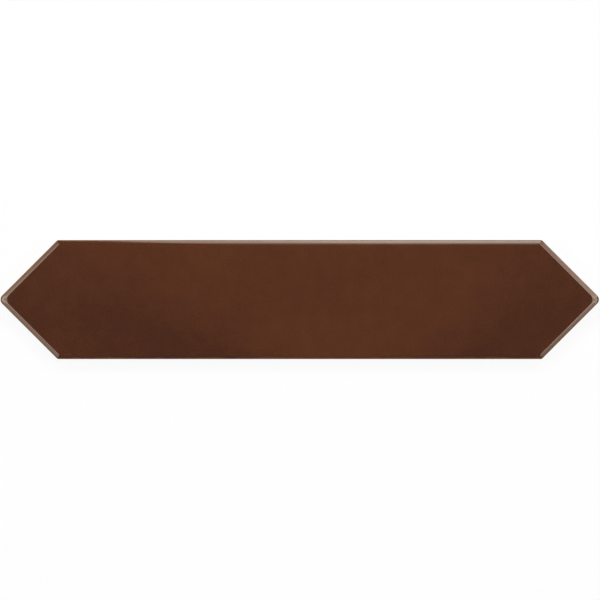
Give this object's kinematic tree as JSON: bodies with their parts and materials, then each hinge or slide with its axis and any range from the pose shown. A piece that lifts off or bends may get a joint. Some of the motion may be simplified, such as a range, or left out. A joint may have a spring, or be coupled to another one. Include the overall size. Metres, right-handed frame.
{
  "type": "wall tile",
  "caption": "Long glazed ceramic wall tile with a 90 degree point at each end, a cushioned glazed edge and a keyed back.",
  "frame": {"origin": "middle of the back, on the surface that the tile lies on", "axes": "+X along the length to one tip, +Y across the width, +Z out through the glazed face"},
  "size_m": [0.25, 0.0496, 0.008],
  "materials": {
    "glaze": "gloss",
    "biscuit": "matte"
  },
  "bodies": {
    "root": {"picket_tile": "glaze"}
  },
  "joints": []
}
